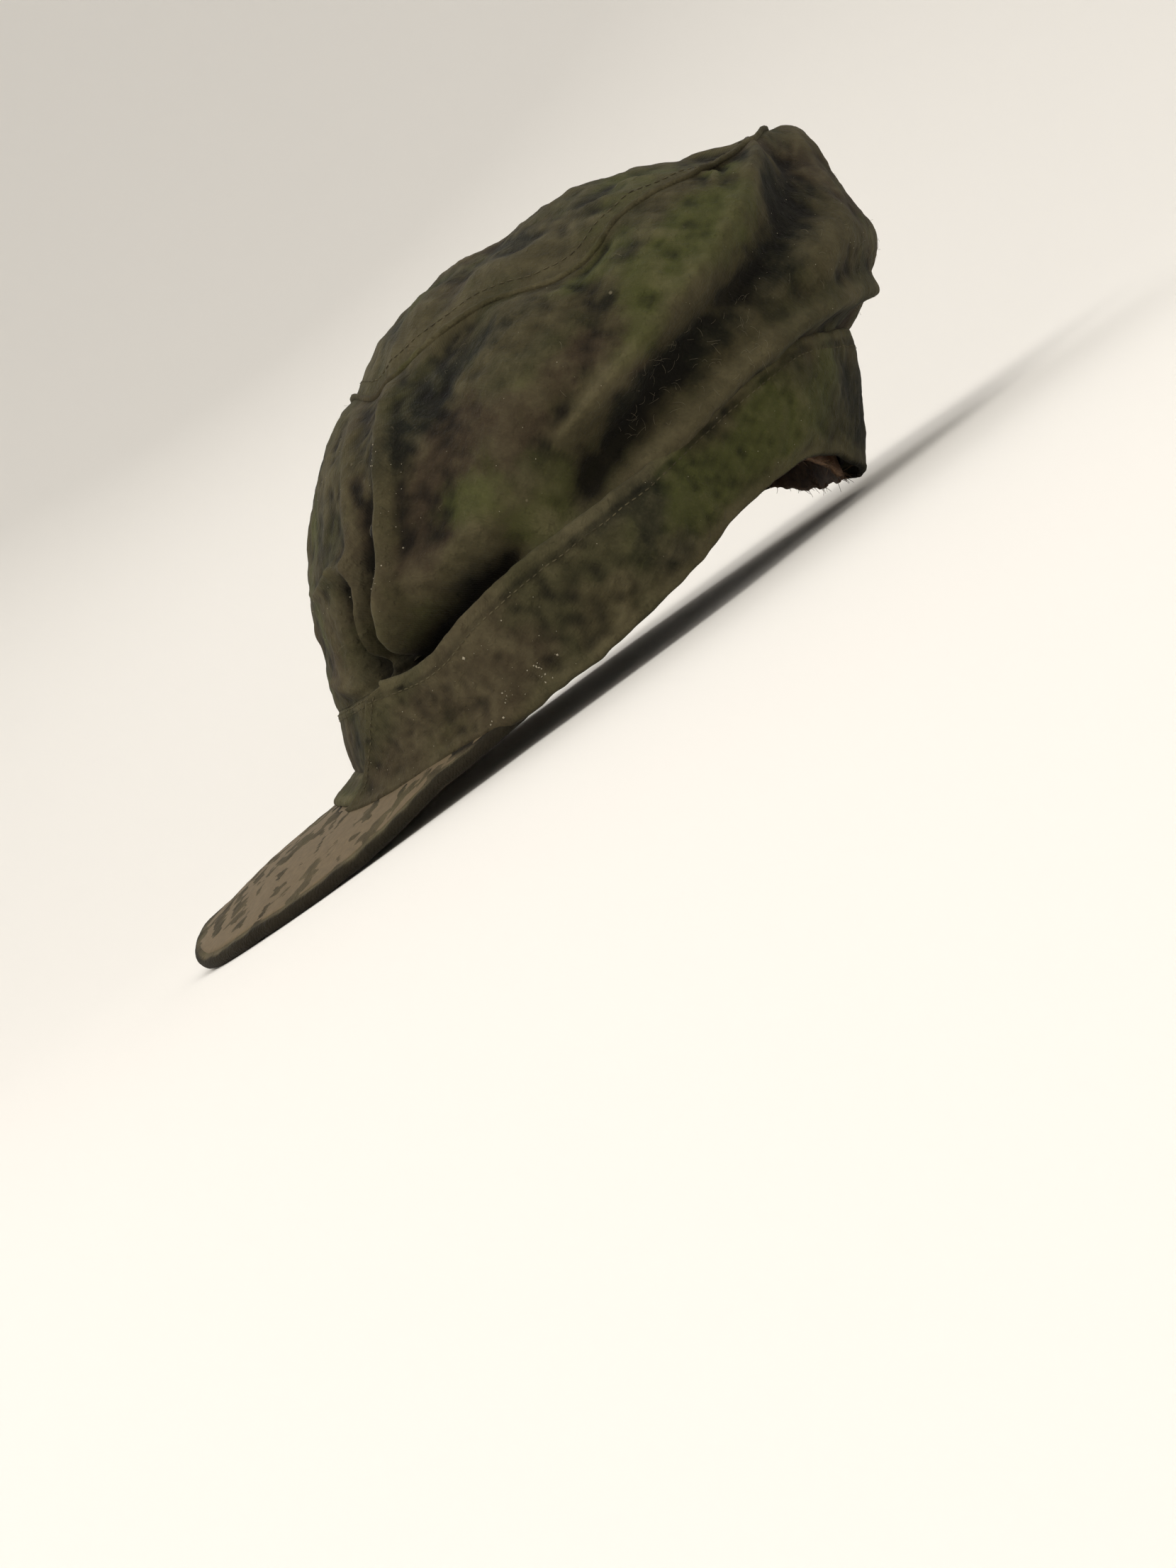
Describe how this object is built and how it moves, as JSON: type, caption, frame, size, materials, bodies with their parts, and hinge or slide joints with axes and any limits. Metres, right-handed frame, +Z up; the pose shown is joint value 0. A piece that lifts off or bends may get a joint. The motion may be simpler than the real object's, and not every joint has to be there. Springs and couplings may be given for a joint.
{
  "type": "field cap",
  "caption": "Soft camouflage field cap with an oval top panel, a turned-up ear flap and a stiff arched peak on a flexing seam.",
  "frame": {"origin": "centre of the head opening, level with the front lower edge of the band", "axes": "+Z up towards the crown as worn, the peak points to -Y, +X is the wearer's left"},
  "size_m": [0.1768, 0.317, 0.134],
  "materials": {
    "camouflage_cloth": "worn matt cotton twill, olive and brown camouflage",
    "lining_cloth": "plain matt lining cloth",
    "sweatband_leather": "worn brown leather, frayed edge",
    "peak_board": "pressed board",
    "sewing_thread": "matt cotton thread"
  },
  "bodies": {
    "crown": {"crown_band": "camouflage_cloth", "crown_side_left": "camouflage_cloth", "crown_side_right": "camouflage_cloth", "crown_top_panel": "camouflage_cloth", "top_seam_fold": "camouflage_cloth", "lining_top": "lining_cloth", "lining_side_left": "lining_cloth", "lining_side_right": "lining_cloth", "sweatband": "sweatband_leather", "flap_left": "camouflage_cloth", "flap_right": "camouflage_cloth", "flap_facing_left": "camouflage_cloth", "flap_facing_right": "camouflage_cloth", "flap_thread_left": "sewing_thread", "flap_thread_right": "sewing_thread", "band_thread": "sewing_thread", "top_seam_thread": "sewing_thread", "peak_seam_strip": "camouflage_cloth"},
    "peak": {"peak_board": "peak_board", "peak_top_cover": "camouflage_cloth", "peak_under_cover": "camouflage_cloth", "peak_thread_outer": "sewing_thread", "peak_thread_inner": "sewing_thread"}
  },
  "joints": [
    {"name": "peak_flex", "type": "hinge", "parent": "crown", "child": "peak", "pos_m": [0, -0.05, -0.008], "axis": [1, 0, 0], "range_deg": [-6, 6], "deforming": ["peak_seam_strip"]}
  ]
}
